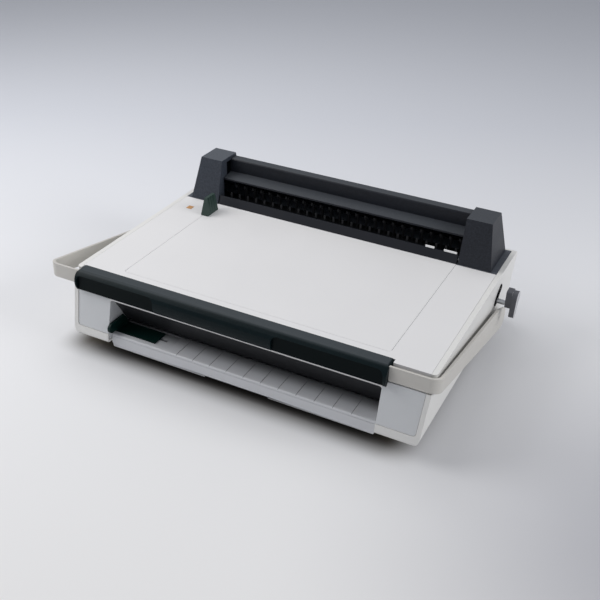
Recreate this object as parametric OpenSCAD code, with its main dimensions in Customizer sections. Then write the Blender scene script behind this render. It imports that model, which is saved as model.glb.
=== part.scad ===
// Comb binding machine: front paper punch and rear comb opener in one casing.
// +X is to the user's right, +Y to the back, +Z up, millimetres. The origin is on the table,
// under the centre of the whole machine's box. Inside the file every sub-part is drawn on the
// machine's own centre plane, with y = 0 at the front edge of the work surface, and the whole
// is moved to the frame at the end.

/* [Casing] */
// height of the work surface above the table
top_h = 115; // [105:1:130]
// half width of the casing at its top edge
case_half = 254; // [245:1:265]
// how much narrower each side is at the bottom
side_lean = 4.5; // [0:0.5:8]
// height of the casing's lower edge above the table
case_z = 24; // [22:1:27]
// wall thickness of the casing
wall = 3; // [2.5:0.1:3.5]
// radius of the casing's two lower edges
belly_r = 12; // [10:1:18]
// y of the back face of the casing
back_y = 345; // [342:1:360]
// y of the front edge of the top, behind the handle bar
edge_y = 1.2; // [1:0.1:3]
// y of the front face just below the handle
brow_y = -8; // [-9:0.1:-7.5]
// forward slope of the front face, mm per mm of height
front_slope = 0.2295; // [0.2:0.0005:0.25]
// clearance between the handle bar's front edge and the ledge under it
seat_gap = 2; // [1.6:0.1:3]
// width of each light side rim beside the top cover
rim_w = 6.7; // [6:0.1:8]
// seam around each cheek plate
seam = 0.5; // [0.3:0.1:0.8]
// depth of the cheek plates behind the casing's front face
cheek_dip = 0.8; // [0.5:0.1:1.5]
// y of the thin lip over the throat
brow_lip_y = -9.9; // [-10.5:0.1:-9]
// thickness of that lip
brow_lip_t = 2.8; // [2:0.1:3.2]

/* [Throat] */
// half width of the paper throat
throat_half = 193.6; // [190:0.2:196]
// height of the paper table above the bench
table_z = 35; // [34:0.5:36]
// y of the front edge of the paper table
table_y = -14; // [-15:0.1:-12]
// thickness of the paper table and of the die plate
table_t = 4; // [3.5:0.1:4.5]
// height of the paper gap
paper_gap = 3.5; // [3:0.1:4.5]
// y of the row of punched holes
punch_y = 36; // [34:0.5:38]
// pitch of the holes
pitch = 14.2875; // [14:0.0005:14.3]
// distance from the last hole's centre to the right end of the row's space
row_margin = 7.1; // [7:0.1:9]
// width of one hole
hole_w = 8; // [7:0.1:8.5]
// depth of one hole
hole_d = 3; // [2.5:0.1:3.2]
// clearance of a pin in the plates, each side
pin_gap = 0.35; // [0.3:0.05:0.45]

/* [Punch drive] */
// lift of the punch bar when the handle is raised
punch_lift = 13.5; // [12.5:0.1:14]
// throw of the drive cranks
crank_r = 16; // [15.5:0.1:17]
// half angle the cranks swing each side of upright
crank_a = 25; // [24:0.5:26]
// radius of the handle shaft
shaft_r = 6; // [5.5:0.1:6.5]
// y of the handle shaft
pivot_y = 250; // [246:1:252]
// height of the handle shaft
pivot_z = 50; // [48:1:52]
// radius of the crank pins and of the punch bar's end pins
drive_pin_r = 3; // [2.8:0.1:3.2]
// running clearance, radius
run_gap = 0.05; // [0.03:0.01:0.08]

/* [Handle] */
// x of the outer face of the left arm
handle_left = -295; // [-300:1:-290]
// x of the outer face of the right arm
handle_right = 261; // [260.5:0.1:263]
// thickness of the handle strap
strap_t = 4; // [3.5:0.1:4.2]
// height of the front bar
strap_h = 20.5; // [18:0.5:22]
// height of the arms above the handle shaft, measured at the shaft
arm_up = 18; // [16:0.5:18.5]
// depth of the arms below the handle shaft, measured at the shaft
arm_down = 20; // [18:0.5:21]
// radius of the arms' rounded ends
arm_end_r = 15.5; // [14:0.5:16]
// outer radius of the strap's front corners
corner_r = 14; // [10:1:18]
// x of the left end of the grip
grip_left = -245; // [-247:1:-240]
// x of the right end of the grip
grip_right = 200; // [195:1:201]

/* [Comb opener] */
// height of the towers above the work surface
tower_h = 64; // [60:1:70]
// half width of the clear span between the towers
span_half = 192; // [190:1:194]
// y of the opener's cross shaft
opener_y = 295; // [293:1:297]
// height of the opener's cross shaft
opener_z = 62.5; // [61:0.5:64]
// radius of the opener's cross shaft
opener_r = 5; // [4.5:0.1:5.5]
// radius of the arms that move the hooks
arm_r = 25; // [24:0.5:26]
// half angle those arms swing each side of upright
arm_a = 14; // [13:0.5:15]
// radius at which the lever rod swings
rod_swing = 34; // [33:0.5:35]
// rod's angle behind the shaft, lever forward, degrees above level
rod_a = 20; // [18:1:22]
// radius of the lever rod
rod_r = 3.5; // [3:0.1:3.8]
// x of the outer face of the lever paddle
lever_x = 281; // [278:1:285]
// height of a fixed finger above the work surface
finger_h = 20; // [17:0.5:22]
// height of a moving hook above the work surface
hook_h = 27; // [25:0.5:29]

/* [Tray and guides] */
// height of the lower lip of the drawer front
lip_z = 15.5; // [15:0.5:17]
// depth of the chip tray from front to back
tray_len = 150; // [120:5:170]
// thickness of the rubber feet
foot_h = 3; // [2.5:0.1:3.5]
// y of the front of the base pan
pan_front = 14; // [10:1:20]
// height of the green guide's fin above the paper table
fin_h = 17; // [14:0.5:19]

/* [Hidden] */

cream = [0.88, 0.87, 0.85];
panel_grey = [0.68, 0.70, 0.73];
dark = [0.20, 0.22, 0.25];
black = [0.08, 0.09, 0.10];
steel = [0.62, 0.63, 0.65];
green = [0.08, 0.22, 0.20];
strap_grey = [0.62, 0.61, 0.59];
amber = [0.72, 0.50, 0.28];

eps = 0.01;
slide_gap = 0.4;                             // between pieces that slide past each other
seat_z = top_h - strap_h - seat_gap;         // ledge under the handle bar
lid_half = case_half - rim_w;                // parting line of the top cover
bottom_half = case_half - side_lean;
face_t = wall * sqrt(1 + front_slope * front_slope) + 0.02;   // front wall measured along y
shoulder_z = case_z + 4;                     // start of the rounding under the front face
shoulder_y = brow_y - front_slope * (seat_z - shoulder_z);
window_z = case_z + 13;                      // lower edge of the cheek windows
window_half = bottom_half - 5.5;             // their outer edge, at the bottom
brow_lip_z = seat_z - 7.8;                   // upper edge of the throat
deck_y = 259.6;                              // front line of the dark deck
deck_end = 336;
deck_top = top_h + 0.5;
panel_half = span_half - 2;
panel_front = 20;
frame_x = throat_half + 6.4;                 // inner face of the steel side frames
frame_t = 3;
cam_x = frame_x + 15;                        // inner face of the cam bars
cam_t = 5;
pan_half = throat_half + 13.4;
row_half = min(throat_half, span_half);
hole_count = floor((2 * row_half - row_margin - 14) / pitch) + 1;
first_hole = row_half - row_margin - (hole_count - 1) * pitch;
guide_z = table_z + paper_gap;               // underside of the stripper plate
guide_t = 7.5;
pin_tip = table_z - table_t - 1.4;           // lowest point of the punch pins
bar_z = 62;                                  // underside of the punch bar, pins down
bar_h = 16;
bar_w = 14;
bar_pin_z = bar_z + bar_h / 2;
crank_y = pivot_y - crank_r * sin(crank_a);  // crank pin, handle down
crank_z = pivot_z + crank_r * cos(crank_a);
crank_top = pivot_z + crank_r;
beam_z = bar_pin_z - 4;                      // underside of the cam bars' straight part
beam_h = 14;
tie_y = 126;                                 // cross tie of the cam bars
tie_w = 16;
tie_t = 3;
leg_y = opener_y - arm_r * sin(arm_a);       // opener arm pin, comb closed
leg_z = opener_z + arm_r * cos(arm_a);
hook_travel = 2 * arm_r * sin(arm_a);
rod_y = opener_y - rod_swing * cos(rod_a);
rod_z = opener_z + rod_swing * sin(rod_a);
slide_z = deck_top + 0.8;                    // underside of the hook carriage
grip_back = 8;                               // back face of the grip
bar_front = -8;                              // front face of the handle bar
grip_low = seat_z + 0.6;                     // underside of the grip
skirt_z = seat_z - 3.1;                      // lower edge of the grip's front
hood_y = deck_end - 36;                      // upright face of the rear hood
hood_top = top_h + tower_h - 4;
crank_x = max(lid_half - 7.3, frame_x + 17); // inner face of the lever's crank, clear of its arm
amber_x = -lid_half + 21.5;                  // left end of the amber insert, clear of the rim
amber_y = punch_y + 187.2;                   // front end of the amber insert
tray_z = lip_z - 0.3;
tray_top = pin_tip - 1.6;
front_y = min(shoulder_y, -22);
end_y = back_y + 3.5;
mid = [(lever_x + handle_left) / 2, (front_y + end_y) / 2];

module slab(x0, x1, y0, y1, z0, z1) translate([x0, y0, z0]) cube([x1 - x0, y1 - y0, z1 - z0]);
// a (y, z) outline run along X, and an (x, z) outline run along Y
module along_x(x0, x1) translate([x0, 0, 0]) rotate([90, 0, 90]) linear_extrude(x1 - x0) children();
module along_y(y0, y1) translate([0, y1, 0]) rotate([90, 0, 0]) linear_extrude(y1 - y0) children();
module rod_x(x0, x1, y, z, r, n = 40)
  translate([x0, y, z]) rotate([0, 90, 0]) cylinder(r = r, h = x1 - x0, $fn = n);
module pair() { children(); mirror([1, 0, 0]) children(); }
module capsule(a, b, r, n = 32) hull() for (p = [a, b]) translate(p) circle(r, $fn = n);
module soft_rect(x0, x1, y0, y1, r, n = 24)
  translate([x0 + r, y0 + r]) offset(r = r, $fn = n) square([x1 - x0 - 2 * r, y1 - y0 - 2 * r]);
module at_holes() for (i = [0 : hole_count - 1]) translate([first_hole + i * pitch, 0, 0]) children();

// ---------------------------------------------------------------- casing and covers

module side_view() polygon([[edge_y, top_h], [edge_y, seat_z], [brow_y, seat_z], [shoulder_y, shoulder_z],
  [shoulder_y + 1.2, case_z + 1.3], [shoulder_y + 4, case_z],
  [back_y - 4, case_z], [back_y, case_z + 4], [back_y, top_h - 5], [back_y - 5, top_h]]);

module end_view() hull() {
  for (s = [-1, 1]) {
    translate([s * (case_half - 1), top_h - 1]) square(2, center = true);
    translate([s * (bottom_half - belly_r), case_z + belly_r]) circle(belly_r, $fn = 64);
  }
}

// Outline of a cheek window, wider at the top, with one rounded corner.
module cheek_outline(grow) offset(delta = grow) hull() {
  translate([window_half - 5, window_z + 5]) circle(5, $fn = 40);
  translate([throat_half - 20, window_z]) square([10, seat_z + 10 - window_z]);
  translate([lid_half - 1, seat_z + 9]) square(1);
}

// Light shell: sides, back, belly and the raised rims that frame the two cheeks.
module casing() color(cream) difference() {
  intersection() {
    along_x(-300, 300) side_view();
    along_y(-60, 400) end_view();
  }
  intersection() {
    along_x(-300, 300) offset(delta = -wall) side_view();
    along_y(-60, 400) offset(delta = -wall) end_view();
  }
  // mouth of the top cover and deck, open to the front above the ledge
  slab(-lid_half, lid_half, edge_y - 1, deck_end + 0.3, top_h - wall - 1, top_h + 1);
  slab(-lid_half, lid_half, edge_y - 1, edge_y + wall + 1, seat_z, top_h + 1);
  // throat between the cheeks, and the open belly over the base pan
  slab(-throat_half, throat_half, -60, 80, 0, top_h - wall - 2);
  slab(-frame_x, frame_x, shoulder_y + 10, back_y - 10, 0, case_z + wall + 1);
  // cheek windows, open to the ledge at the top
  pair() along_y(-60, brow_y + face_t) cheek_outline(0);
  pair() intersection() {
    along_y(-60, 0.5) cheek_outline(0);
    slab(0, case_half, -60, 1, 0, seat_z - wall);
  }
  // rounded front corners, inside the bend of the strap
  pair() translate([case_half - 6, edge_y + 6, seat_z]) linear_extrude(strap_h * 2) difference() {
    translate([0, -8]) square(8);
    circle(6, $fn = 48);
  }
  // back window, closed by the rear cover
  slab(-frame_x - 5, frame_x + 5, back_y - wall - 1, back_y + 1, 32, 104);
  // handle shaft holes and the lever's slot
  rod_x(-300, 300, pivot_y, pivot_z, shaft_r + 1);
  along_x(frame_x, 300) for (a = [rod_a - 3, rod_a + 13])
    capsule(swing_at(a), swing_at(a + 16), rod_r + 1.2);
}

function swing_at(a) = [opener_y - rod_swing * cos(a), opener_z + rod_swing * sin(a)];

// Cheek plate in its window, held by a flange behind the wall, with the flat side wall of
// the throat behind its inner edge.
module cheek() {
  low = window_z + seam;
  top = seat_z - wall - 0.05;
  intersection() {
    along_x(throat_half, case_half) polygon([[face_y(seat_z) + cheek_dip, seat_z - 0.3],
      [face_y(low) + cheek_dip, low], [face_y(low) + cheek_dip + wall, low],
      [face_y(top) + cheek_dip + wall, top], [brow_y + face_t - 0.1, top],
      [brow_y + face_t - 0.1, seat_z - 0.3]]);
    along_y(-60, 60) cheek_outline(-seam);
  }
  intersection() {
    along_x(throat_half, case_half) polygon([[face_y(top) + face_t, top],
      [face_y(window_z - 2) + face_t, window_z - 2], [face_y(window_z - 2) + face_t + 2, window_z - 2],
      [face_y(top) + face_t + 2, top]]);
    along_y(-60, 60) cheek_outline(2);
  }
  along_x(throat_half, throat_half + 2.5) polygon([[face_y(top) + cheek_dip, top],
    [face_y(low) + cheek_dip, low], [face_y(low) + face_t + 0.05, low],
    [face_y(low) + face_t + 0.6, case_z + wall + 1.5], [punch_y - 12, case_z + wall + 1.5],
    [punch_y - 12, top]]);
}
function face_y(z) = brow_y - front_slope * (seat_z - z);
module left_cheek() color(panel_grey) mirror([1, 0, 0]) cheek();
module right_cheek() color(panel_grey) cheek();

// Light work surface with a notch for the grip and a thin lip over the throat.
module top_cover() color(cream) difference() {
  union() {
    slab(-lid_half + 0.3, lid_half - 0.3, edge_y, deck_y - 0.4, top_h - wall, top_h);
    slab(-lid_half - 3, lid_half + 3, edge_y + 3.5, deck_y - 0.4, top_h - wall - 2, top_h - wall);
    slab(-lid_half + 0.3, lid_half - 0.3, edge_y, edge_y + 3.5, seat_z + 0.4, top_h - wall);
    slab(max(grip_left - 4, -lid_half + 0.3), grip_right + 4, edge_y, grip_back + 3.5,
      seat_z + 0.4, top_h - wall);
    along_x(-throat_half, throat_half) polygon([[grip_back + 3.5, brow_lip_z],
      [grip_back + 3.5, seat_z + 1], [grip_back + 0.5, seat_z + 1],
      [grip_back + 0.5, brow_lip_z + brow_lip_t], [brow_lip_y + 0.5, brow_lip_z + brow_lip_t],
      [brow_lip_y, brow_lip_z + brow_lip_t - 0.5], [brow_lip_y, brow_lip_z + 0.6],
      [brow_lip_y + 0.6, brow_lip_z]]);
    pair() along_y(brow_lip_y + 0.4, brow_lip_y + 4.4)
      translate([throat_half - 3, brow_lip_z - 3]) difference() {
        square([3, 3.2]);
        circle(3, $fn = 32);
      }
  }
  slab(grip_left - 1, grip_right + 1, -20, grip_back + 0.5, seat_z - 4, top_h + 1);
  translate([0, 0, top_h - 2]) linear_extrude(3)
    soft_rect(-panel_half - 0.4, panel_half + 0.4, panel_front - 0.4, deck_y + 20, 4.4);
  slab(amber_x - 0.2, amber_x + 8.8, amber_y - 0.2, amber_y + 9.8, top_h - 1.2, top_h + 1);
}

// Separate centre panel, its seam a thin groove, ending in the raised back stop.
module work_panel() color(cream) {
  translate([0, 0, top_h - 2]) linear_extrude(2)
    soft_rect(-panel_half, panel_half, panel_front, deck_y + 8, 4);
  along_x(-panel_half, panel_half) polygon([[deck_y, top_h - 2], [deck_y, top_h],
    [deck_y + 5.4, top_h + 12.2], [deck_y + 7.6, top_h + 12.2], [deck_y + 7.6, top_h - 2]]);
}

// Two white gauge tabs along the top of the back stop.
module gauge_tabs() color([0.95, 0.95, 0.95]) {
  for (span = [[48, 35], [21, 2]])
    slab(panel_half - span[0], panel_half - span[1], deck_y + 5.8, deck_y + 7.4, top_h + 12.2, top_h + 15);
}

module amber_insert() color(amber)
  slab(amber_x, amber_x + 8.6, amber_y, amber_y + 9.6, top_h - 1.2, top_h + 0.2);

// Fixed green stop for the paper's left edge, tapered with three shallow grooves.
module edge_stop() color(green) difference() {
  hull() {
    slab(-panel_half - 3, -panel_half + 9, 214, 243, top_h, top_h + 2);
    slab(-panel_half + 0.5, -panel_half + 5.5, 219, 240, top_h + 25, top_h + 27);
  }
  for (y = [222, 228, 234]) translate([-panel_half + 9, y, top_h + 4]) rotate([0, -10, 0])
    translate([-0.5, -0.6, 0]) cube([2, 1.2, 24]);
}

module rear_cover() color(cream) difference() {
  slab(-frame_x - 12, frame_x + 12, back_y, back_y + 2, case_z + 4, top_h - 6);
  for (i = [-4 : 4]) along_y(back_y - 1, back_y + 3) soft_rect(i * 30 - 1.5, i * 30 + 1.5, 45, 90, 1.4, 12);
}

module screws() color(steel) for (x = [-frame_x - 7.5, frame_x + 7.5], z = [case_z + 8, top_h - 10]) {
  translate([x, back_y + 2, z]) rotate([-90, 0, 0]) difference() {
    cylinder(r = 3, h = 1.5, $fn = 24);
    for (a = [0, 90]) rotate(a) translate([-2, -0.35, 0.8]) cube([4, 0.7, 1]);
  }
}

// ---------------------------------------------------------------- base

module pan_outline(inset) soft_rect(-pan_half + inset, pan_half - inset, pan_front + inset,
  back_y - 10 - inset, 16 - inset, 32);

// Dark pan under the casing: carries the feet and the two runners of the chip tray.
module base_pan() color(black) {
  difference() {
    translate([0, 0, foot_h]) linear_extrude(case_z - foot_h) pan_outline(0);
    translate([0, 0, foot_h + 3]) linear_extrude(case_z) pan_outline(2.5);
    slab(-throat_half, throat_half, pan_front - 1, pan_front + 8, lip_z - 1.2, case_z + 1);
  }
  for (x = [53.6 - throat_half, throat_half - 53.6])
    slab(x - 5, x + 5, pan_front + 1, tray_len + 10, foot_h + 3, tray_z - slide_gap);
}

module feet() color(black) for (x = [32 - pan_half, pan_half - 32], y = [pan_front + 16, back_y - 40])
  translate([x, y, 0]) cylinder(r1 = 10, r2 = 12, h = foot_h, $fn = 40);

// ---------------------------------------------------------------- throat and punch

// Sloping dark plate that leads the sheet down into the gap.
module lead_in() color(dark) along_x(-throat_half, throat_half) polygon([[brow_lip_y + 5, brow_lip_z - 0.05],
  [punch_y - 14, guide_z + 0.5], [punch_y - 12, guide_z], [punch_y - 12, guide_z + 6],
  [brow_lip_y + 10, brow_lip_z - 0.05]]);

// Ruled table in front of the die, with a shallow bay and a slot for the green guide.
module paper_table() color(panel_grey) difference() {
  along_x(-throat_half, throat_half) polygon([[table_y + 2.8, table_z], [table_y + 1.3, table_z - 0.3],
    [table_y + 0.4, table_z - 1.1], [table_y, table_z - 2.3], [table_y, table_z - 3.4],
    [table_y + 2, table_z - table_t],
    [punch_y - 12, table_z - table_t], [punch_y - 12, table_z]]);
  slab(-throat_half - 1, -throat_half + 88.6, -6.5, punch_y - 13, table_z - 1.3, table_z + 1);
  slab(-throat_half + 11.6, -throat_half + 75.6, 6, 10.2, 0, table_z + 1);
  for (i = [0 : 10]) slab(i * 25 - 90, i * 25 - 89.5, table_y + 4, punch_y - 11, table_z - 0.3, table_z + 1);
}

module hole_row(grow) at_holes() translate([-hole_w / 2 - grow, punch_y - hole_d / 2 - grow, 0])
  cube([hole_w + 2 * grow, hole_d + 2 * grow, top_h]);

module die_plate() color(steel) difference() {
  slab(-frame_x, frame_x, punch_y - 12, punch_y + 16, table_z - table_t, table_z);
  hole_row(pin_gap);
}

module stripper_plate() color(steel) difference() {
  union() {
    slab(-frame_x, frame_x, punch_y - 12, punch_y + 16, guide_z, guide_z + guide_t);
    slab(-frame_x, frame_x, punch_y + 12, punch_y + 16, table_z, guide_z);
  }
  hole_row(pin_gap);
}

// Steel side plate that carries the plates, the shafts and the punch bar's vertical slot.
module frame() color(steel) difference() {
  union() {
    along_x(frame_x, frame_x + frame_t) polygon([[16, case_z + wall], [16, 98], [120, 98], [200, 92],
      [300, 88], [318, 74], [318, case_z + wall]]);
    slab(frame_x, frame_x + 12, 60, 318, case_z + wall, case_z + wall + 3);
  }
  slab(frame_x - 1, frame_x + 5, punch_y - bar_w / 2 - slide_gap, punch_y + bar_w / 2 + slide_gap,
    bar_z - 1, bar_z + bar_h + punch_lift + 1);
  rod_x(frame_x - 1, frame_x + 5, pivot_y, pivot_z, shaft_r + 3);
  rod_x(frame_x - 1, frame_x + 5, opener_y, opener_z, opener_r + 3);
  slab(frame_x - 1, frame_x + 5, tie_y - 2, tie_y + tie_w + punch_lift + 2, beam_z + beam_h - 1.5,
    beam_z + beam_h + tie_t + 1.5);
  for (y = [80, 150]) along_x(frame_x - 1, frame_x + 5) soft_rect(y - 22, y + 22, 38, 54, 6);
}
module left_frame() mirror([1, 0, 0]) frame();
module right_frame() frame();

module bush(y, z, r) difference() {
  union() {
    rod_x(frame_x, frame_x + frame_t, y, z, r + 3);
    rod_x(frame_x + frame_t, frame_x + frame_t + 2, y, z, r + 5);
  }
  rod_x(frame_x - 1, frame_x + 10, y, z, r + run_gap);
}
module shaft_bushes() color([0.75, 0.6, 0.35]) pair() bush(pivot_y, pivot_z, shaft_r);
module opener_bushes() color([0.75, 0.6, 0.35]) pair() bush(opener_y, opener_z, opener_r);

// Four slotted blocks on the side frames in which the cam bars run.
module cam_guides() color(black) pair() for (y = [98, 170]) difference() {
  slab(frame_x + frame_t, cam_x + cam_t + 3, y - 8, y + 8, beam_z - 5, beam_z + beam_h + 5);
  slab(cam_x - slide_gap, cam_x + cam_t + slide_gap, y - 9, y + 9, beam_z - slide_gap,
    beam_z + beam_h + slide_gap);
}

// Cam bar: inclined slot lifts the punch bar's pin, upright slot takes the crank pin.
module cam_bar() color(steel) along_x(cam_x, cam_x + cam_t) difference() {
  union() {
    hull() {
      translate([punch_y - punch_lift - 8, bar_pin_z - 8]) square([punch_lift + 18, 16]);
      translate([punch_y - punch_lift - 8, bar_pin_z + punch_lift - 4]) square([14, 12]);
    }
    translate([punch_y, beam_z]) square([crank_y - punch_y, beam_h]);
    translate([crank_y - 9, crank_z - drive_pin_r - 4.2]) square([18, crank_top - crank_z + 2 * drive_pin_r + 9]);
  }
  capsule([punch_y, bar_pin_z], [punch_y - punch_lift, bar_pin_z + punch_lift], drive_pin_r + slide_gap);
  capsule([crank_y, crank_z - 0.3], [crank_y, crank_top + 0.3], drive_pin_r + slide_gap);
}
module left_cam_bar() mirror([1, 0, 0]) cam_bar();
module right_cam_bar() cam_bar();

// Cross tie that makes the two cam bars one carriage.
module cam_tie() color(steel) {
  slab(-cam_x - cam_t, cam_x + cam_t, tie_y, tie_y + tie_w, beam_z + beam_h, beam_z + beam_h + tie_t);
}

module punch_bar() color(steel) {
  slab(-cam_x + 3, cam_x - 3, punch_y - bar_w / 2, punch_y + bar_w / 2, bar_z, bar_z + bar_h);
  pair() rod_x(cam_x - 3, cam_x + cam_t + 2, punch_y, bar_pin_z, drive_pin_r);
}

// One pin for each hole, ends ground hollow so each cut starts at its two long edges.
module punch_pins() color([0.75, 0.76, 0.78]) at_holes()
  translate([0, punch_y + hole_d / 2, 0]) rotate([90, 0, 0]) linear_extrude(hole_d) polygon([
    [-hole_w / 2, bar_z], [-hole_w / 2, pin_tip], [0, pin_tip + 1], [hole_w / 2, pin_tip],
    [hole_w / 2, bar_z]]);

// ---------------------------------------------------------------- handle

function arm_top(y) = top_h - (y - bar_front) * (top_h - pivot_z - arm_up) / (pivot_y - bar_front);
function arm_low(y) = top_h - strap_h
  - (y - bar_front) * (top_h - strap_h - pivot_z + arm_down) / (pivot_y - bar_front);
module arm_side() hull() {
  polygon([[bar_front, arm_top(bar_front)], [bar_front, arm_low(bar_front)],
    [pivot_y, arm_low(pivot_y)], [pivot_y, arm_top(pivot_y)]]);
  translate([pivot_y + 30, arm_low(pivot_y + 30) + arm_end_r + 0.5]) circle(arm_end_r, $fn = 48);
}

// Flat strap bent into a U: front bar and two arms keyed to the shaft.
module handle_bar() color(strap_grey) difference() {
  intersection() {
    along_x(handle_left, handle_right) arm_side();
    linear_extrude(top_h + 10) difference() {
      soft_rect(handle_left, handle_right, bar_front, 400, corner_r, 48);
      soft_rect(handle_left + strap_t, handle_right - strap_t, bar_front + strap_t, 420,
        corner_r - strap_t, 48);
    }
  }
  rod_x(handle_left - 1, handle_left + 40, pivot_y, pivot_z, shaft_r);
  rod_x(handle_right - 40, handle_right + 1, pivot_y, pivot_z, shaft_r);
}

// The back face leans forward at the foot, so it clears the cover's notch as the handle rises,
// and a short skirt hangs in front of the casing's brow.
module grip_view() polygon([[3, grip_low], [6.4, top_h - 5], [grip_back, top_h + 0.4],
  [grip_back - 1, top_h + 1.6], [-6, top_h + 1.6], [-10.5, top_h - 0.4], [-14, top_h - 4],
  [-16.4, top_h - 8.5], [-17, top_h - 13.5], [-16.6, top_h - 18], [-15.4, top_h - 22],
  [brow_y - 5.4, skirt_z], [brow_y - 3.4, skirt_z], [brow_y - 1.2, grip_low]]);

// Moulded grip around the bar: bulged middle, a flat pocket at each end.
module handle_grip() color(green) difference() {
  intersection() {
    along_x(grip_left, grip_right) grip_view();
    along_y(-30, 30) soft_rect(grip_left, grip_right, skirt_z - 8, top_h + 1.6, 4);
  }
  along_x(handle_left, handle_right) offset(delta = 0.02) polygon([[bar_front, arm_top(bar_front)],
    [bar_front, arm_low(bar_front)], [bar_front + strap_t, arm_low(bar_front + strap_t)],
    [bar_front + strap_t, arm_top(bar_front + strap_t)]]);
  for (span = [[grip_left + 2, grip_left + 124], [grip_right - 150, grip_right - 4]])
    along_y(-30, bar_front - 4.8) soft_rect(span[0], span[1], skirt_z - 14, top_h - 3.8, 8);
}

module handle_shaft() color(steel) rod_x(handle_left, handle_right, pivot_y, pivot_z, shaft_r, 48);

// Cranks pinned to the shaft just outside the side frames.
module drive_cranks() color(steel) pair() difference() {
  union() {
    along_x(frame_x + 7, frame_x + 12) hull() {
      translate([pivot_y, pivot_z]) circle(11, $fn = 40);
      translate([crank_y, crank_z]) circle(6, $fn = 32);
    }
    rod_x(frame_x + 12, cam_x + cam_t + 2, crank_y, crank_z, drive_pin_r);
  }
  rod_x(frame_x, frame_x + 20, pivot_y, pivot_z, shaft_r);
}

module handle_stops() color(black) pair()
  slab(lid_half + 0.6, lid_half + 4.6, bar_front + 0.5, bar_front + strap_t, seat_z,
    arm_low(bar_front + strap_t) - 0.3);

// ---------------------------------------------------------------- comb opener

// Dark deck behind the work surface, slotted under each tower for the carriage legs.
module comb_deck() color(dark) difference() {
  union() {
    slab(-lid_half + 0.3, lid_half - 0.3, deck_y, deck_end, top_h - wall, deck_top);
    slab(-lid_half - 3, lid_half + 3, deck_y, deck_end, top_h - wall - 2, top_h - wall);
  }
  slab(-panel_half - 0.4, panel_half + 0.4, deck_y - 1, deck_y + 8.4, top_h - 2, top_h + 1);
  pair() slab(frame_x + 4, frame_x + 11, leg_y - 9, leg_y + hook_travel + 9, top_h - 10, top_h + 5);
}

module tower() difference() {
  hull() {
    slab(span_half, span_half + 47, deck_y + 1, deck_end - 3, deck_top, deck_top + eps);
    slab(span_half + 0.5, span_half + 36.5, deck_y + 15.5, deck_end - 19, top_h + tower_h - 1.5, top_h + tower_h);
  }
  hull() {
    slab(span_half + 2.5, span_half + 44.5, deck_y + 3.5, deck_end - 5.5, deck_top - 1, deck_top + eps);
    slab(span_half + 3, span_half + 34, deck_y + 18, deck_end - 21.5, top_h + tower_h - 4.5, top_h + tower_h - 3);
  }
  slab(span_half - 1, span_half + 4, leg_y - 9, leg_y + hook_travel + 14, deck_top - 1, top_h + 34);
  slab(span_half - 1, span_half + 4, leg_y, leg_y + 24, deck_top - 1, top_h + tower_h - 6);
}
module left_tower() color(dark) mirror([1, 0, 0]) tower();
module right_tower() color(dark) tower();

// Hood between the towers: flat brow over the hooks, upright face, sloping back.
module rear_beam() color(black) along_x(-span_half, span_half) polygon([
  [hood_y - 22, top_h + 36.5], [hood_y, top_h + 39.5], [hood_y, hood_top - 2], [hood_y + 1.5, hood_top],
  [deck_end - 21, hood_top], [deck_end - 16, hood_top - 3], [deck_end - 4, top_h + 3],
  [deck_end - 4, deck_top], [deck_end - 7, deck_top], [deck_end - 7, top_h + 3],
  [deck_end - 18.5, hood_top - 5], [deck_end - 22, hood_top - 3], [hood_y + 3, hood_top - 3],
  [hood_y + 3, top_h + 36.8], [hood_y - 22, top_h + 33.5]]);

// Fixed comb fingers: a steel strip with one upright finger for each hole.
module finger_plate() color(steel) {
  slab(-span_half + 2, span_half - 2, 268, 274.5, deck_top, deck_top + 1.2);
  at_holes() slab(-1.6, 1.6, 268.2, 269.8, deck_top + 1.2, top_h + finger_h);
}

// Moving hooks: one bent hook for each finger, on a strip with a leg at each end.
module hook_carriage() color(steel) {
  slab(-frame_x - 10, frame_x + 10, leg_y - 6, leg_y + 10, slide_z, slide_z + 2);
  at_holes() along_x(-1.5, 1.5) polygon([[leg_y + 1, slide_z + 2], [leg_y + 1, top_h + hook_h - 3],
    [leg_y - 4, top_h + hook_h - 2.2], [leg_y - 4.6, top_h + hook_h - 4.5], [leg_y - 5.4, top_h + hook_h - 4.3],
    [leg_y - 5, top_h + hook_h], [leg_y + 3, top_h + hook_h], [leg_y + 3, slide_z + 2]]);
  pair() along_x(frame_x + 6, frame_x + 9) difference() {
    translate([leg_y - 6.5, leg_z - 8]) square([13, slide_z - leg_z + 8]);
    capsule([leg_y, leg_z - 0.4], [leg_y, opener_z + arm_r + 0.4], 2.5 + slide_gap);
  }
}

module opener_shaft() color(steel) rod_x(-frame_x - 21, crank_x + 5, opener_y, opener_z, opener_r);

module opener_arms() color(steel) pair() difference() {
  union() {
    along_x(frame_x + 12, frame_x + 16) hull() {
      translate([opener_y, opener_z]) circle(9, $fn = 40);
      translate([leg_y, leg_z]) circle(5, $fn = 32);
    }
    rod_x(frame_x + 5, frame_x + 12, leg_y, leg_z, 2.5, 32);
  }
  rod_x(frame_x, frame_x + 20, opener_y, opener_z, opener_r);
}

// Crank inside the right wall, its rod coming out through the slot.
module opener_crank() color(steel) difference() {
  union() {
    along_x(crank_x, crank_x + 4) hull() {
      translate([opener_y, opener_z]) circle(9, $fn = 40);
      translate([rod_y, rod_z]) circle(6, $fn = 32);
    }
    rod_x(crank_x + 4, lever_x - 8, rod_y, rod_z, rod_r, 32);
  }
  rod_x(crank_x - 1, crank_x + 6, opener_y, opener_z, opener_r);
}

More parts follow.
